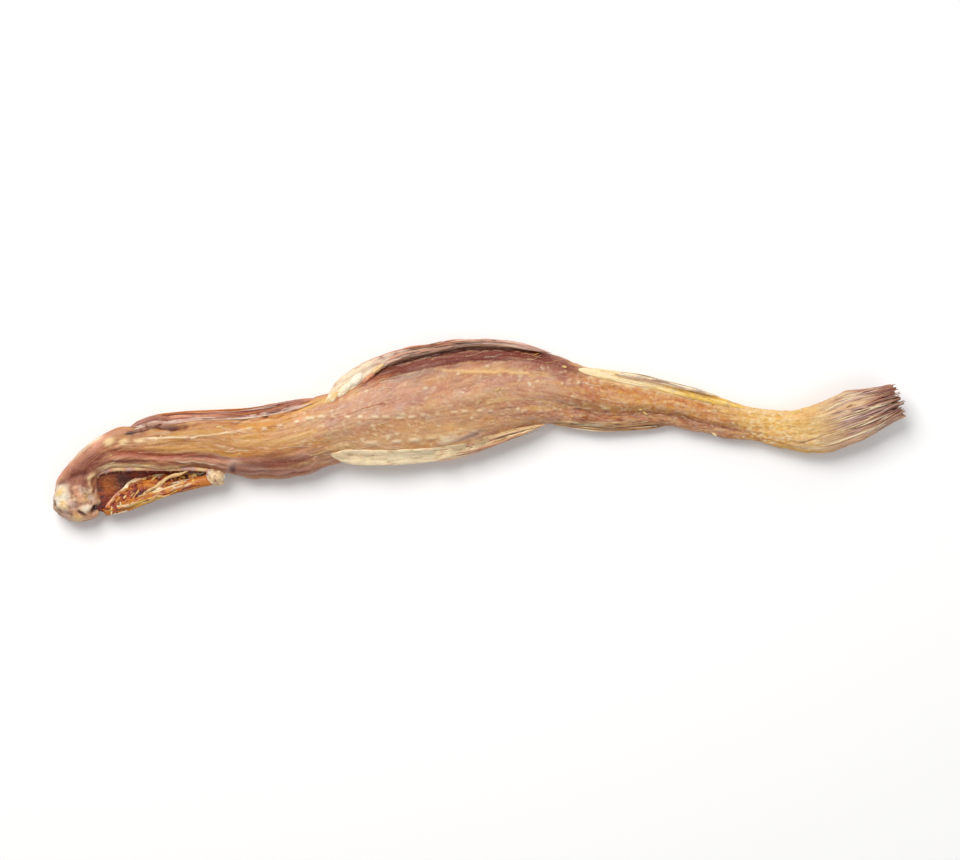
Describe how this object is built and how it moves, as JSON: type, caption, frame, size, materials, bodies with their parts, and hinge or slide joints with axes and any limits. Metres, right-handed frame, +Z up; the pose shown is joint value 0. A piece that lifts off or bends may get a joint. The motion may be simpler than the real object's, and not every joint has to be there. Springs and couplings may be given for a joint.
{
  "type": "dried bombay duck",
  "caption": "Whole sun-dried bombay duck fish lying on its side, hooked head, open jaw with needle teeth, fins folded along a wrinkled flat body, tail dried into a brush.",
  "frame": {"origin": "centre of the bounding box's underside, on the table plane", "axes": "+X from the snout to the tail, +Y from the belly to the back, +Z up from the table, out of the fish's left flank"},
  "size_m": [0.2098, 0.0454, 0.0112],
  "materials": {
    "dried_skin": "satin"
  },
  "bodies": {
    "root": {"dried_fish": "dried_skin"}
  },
  "joints": []
}
